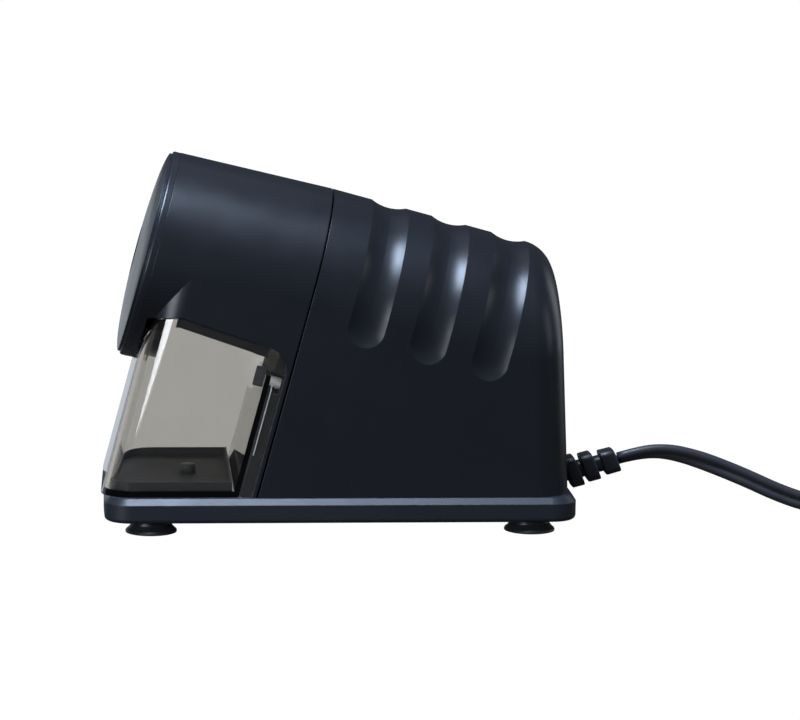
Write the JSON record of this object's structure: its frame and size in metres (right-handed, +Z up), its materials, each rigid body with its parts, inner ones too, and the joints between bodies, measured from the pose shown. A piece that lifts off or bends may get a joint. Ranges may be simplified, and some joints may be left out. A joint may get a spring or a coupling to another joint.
{
  "type": "electric pencil sharpener",
  "caption": "Desktop electric pencil sharpener with a tilted drum head, ribbed grip housing, clear slide-out shavings bin, suction-cup base and mains cord.",
  "frame": {"origin": "on the table under the middle of the base, at the bottom of the suction cups", "axes": "+Z up; the pencil enters from -Y and the cord leaves towards +Y; X is across"},
  "size_m": [0.14, 0.3597, 0.139],
  "materials": {
    "housing_black": "fine satin moulded black",
    "base_black": "satin moulded black",
    "bezel_black": "semi-gloss moulded black",
    "smoke_clear": "polished smoke-tinted clear styrene",
    "inner_plastic": "unpolished black inner moulding",
    "white_nylon": "natural nylon gear stock",
    "cutter_steel": "ground and hardened tool steel",
    "bright_steel": "turned steel",
    "zinc_plate": "zinc die casting",
    "plated_steel": "zinc-plated pressed steel",
    "core_steel": "oiled electrical steel laminations",
    "enamel_copper": "enamelled copper winding",
    "bearing_bronze": "oil-soaked sintered bronze",
    "cup_rubber": "soft black vinyl",
    "cord_vinyl": "extruded black vinyl",
    "relief_vinyl": "moulded black vinyl",
    "plug_vinyl": "moulded black vinyl",
    "blade_brass": "stamped brass",
    "switch_case": "phenolic switch case"
  },
  "bodies": {
    "body": {"base_plate": "base_black", "rear_housing": "housing_black", "front_housing": "housing_black", "front_bezel": "bezel_black", "pencil_guide": "inner_plastic", "ring_gear": "zinc_plate", "carrier_bush": "bearing_bronze", "gear_plate": "inner_plastic", "bin_bulkhead": "inner_plastic", "gear_plate_screws": "bright_steel", "bracket_screws": "bright_steel", "idler_pin": "bright_steel", "motor_front_bracket": "plated_steel", "motor_rear_bracket": "plated_steel", "motor_front_bearing": "bearing_bronze", "motor_rear_bearing": "bearing_bronze", "motor_stator": "core_steel", "motor_coils": "enamel_copper", "motor_screws": "bright_steel", "lever_pin": "bright_steel", "switch_bracket": "plated_steel", "start_switch": "switch_case", "switch_button": "white_nylon", "lever_spring": "bright_steel", "interlock_switch": "switch_case", "housing_screws": "bright_steel", "strain_relief": "relief_vinyl", "cord": "cord_vinyl", "cord_coil": "cord_vinyl", "plug_body": "plug_vinyl", "plug_blades": "blade_brass", "suction_cup_front_right": "cup_rubber", "suction_cup_front_left": "cup_rubber", "suction_cup_rear_right": "cup_rubber", "suction_cup_rear_left": "cup_rubber"},
    "receptacle": {"shavings_receptacle": "smoke_clear"},
    "rotor_set": {"rotor": "core_steel", "rotor_shaft": "bright_steel", "motor_pinion": "bearing_bronze", "cooling_fan": "white_nylon"},
    "idler_set": {"idler_gear": "white_nylon"},
    "carrier_set": {"cutter_carrier": "zinc_plate", "carrier_shaft": "bright_steel", "carrier_gear": "white_nylon", "gear_clip": "bright_steel", "cutter_pin_right": "bright_steel", "cutter_pin_left": "bright_steel"},
    "right_cutter": {"cutter_right": "cutter_steel"},
    "left_cutter": {"cutter_left": "cutter_steel"},
    "lever": {"start_lever": "white_nylon"},
    "plunger": {"interlock_plunger": "white_nylon"}
  },
  "joints": [
    {"name": "receptacle_slide", "type": "slide", "parent": "body", "child": "receptacle", "axis": [0, -1, 0], "range_m": [0, 0.075]},
    {"name": "carrier_spin", "type": "hinge", "parent": "body", "child": "carrier_set", "pos_m": [0, -0.03408, 0.09023], "axis": [0, -0.9668, 0.2554], "continuous": true},
    {"name": "idler_spin", "type": "hinge", "parent": "body", "child": "idler_set", "pos_m": [-0.01518, -0.00865, 0.06121], "axis": [0, -0.9668, 0.2554], "continuous": true},
    {"name": "rotor_spin", "type": "hinge", "parent": "body", "child": "rotor_set", "pos_m": [0, 0.01911, 0.04101], "axis": [0, -0.9668, 0.2554], "continuous": true},
    {"name": "right_cutter_spin", "type": "hinge", "parent": "carrier_set", "child": "right_cutter", "pos_m": [0.01, -0.04423, 0.09291], "axis": [0.1822, -0.9506, 0.2512], "continuous": true},
    {"name": "left_cutter_spin", "type": "hinge", "parent": "carrier_set", "child": "left_cutter", "pos_m": [-0.01, -0.04423, 0.09291], "axis": [-0.1822, -0.9506, 0.2512], "continuous": true},
    {"name": "start_lever_tilt", "type": "hinge", "parent": "body", "child": "lever", "pos_m": [0, -0.04762, 0.11139], "axis": [-1, 0, 0], "range_deg": [0, 6], "stiffness_Nm_per_rad": 0.05, "springref_deg": -5.73},
    {"name": "interlock_press", "type": "slide", "parent": "body", "child": "plunger", "axis": [0, 0.9668, -0.2554], "range_m": [0, 0.0015], "stiffness_N_per_m": 120, "springref_m": -0.0015}
  ],
  "couplings": [
    {"joint": "idler_spin", "follows": "carrier_spin", "ratio": -4},
    {"joint": "rotor_spin", "follows": "carrier_spin", "ratio": 13.333},
    {"joint": "right_cutter_spin", "follows": "carrier_spin", "ratio": -3},
    {"joint": "left_cutter_spin", "follows": "carrier_spin", "ratio": -3}
  ]
}
